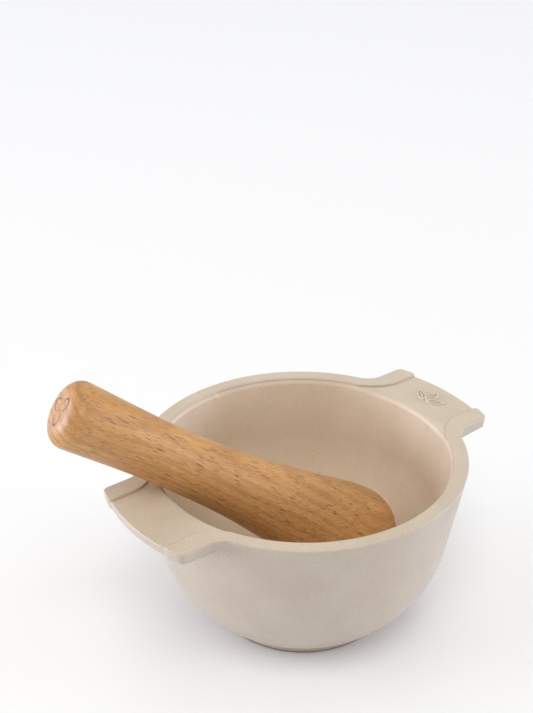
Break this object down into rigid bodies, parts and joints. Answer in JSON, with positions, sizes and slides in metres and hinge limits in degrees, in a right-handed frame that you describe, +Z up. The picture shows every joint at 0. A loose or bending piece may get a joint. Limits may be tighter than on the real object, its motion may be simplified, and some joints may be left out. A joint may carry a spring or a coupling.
{
  "type": "mortar and pestle",
  "caption": "Round stoneware mortar with a flat lug handle on each side and a turned wooden pestle leaning in it.",
  "frame": {"origin": "centre of the underside of the foot ring, on the surface that the mortar stands on", "axes": "+Z up, +X towards the lug with the leaf relief, +Y to the back; the pestle's grip leans out over the -X lug"},
  "size_m": [0.1747, 0.13, 0.1186],
  "materials": {
    "glaze": "satin cream glaze with fine brown specks",
    "bare_clay": "unglazed brown stoneware, matt and gritty",
    "beech": "oiled beech with short dark ray flecks"
  },
  "bodies": {
    "mortar": {"bowl": "glaze", "foot_ring": "bare_clay", "left_lug": "glaze", "right_lug": "glaze"},
    "pestle": {"pestle": "beech"}
  },
  "joints": [
    {"name": "pestle_lift", "type": "slide", "parent": "mortar", "child": "pestle", "axis": [0, 0, 1], "range_m": [0, 0.08]}
  ]
}
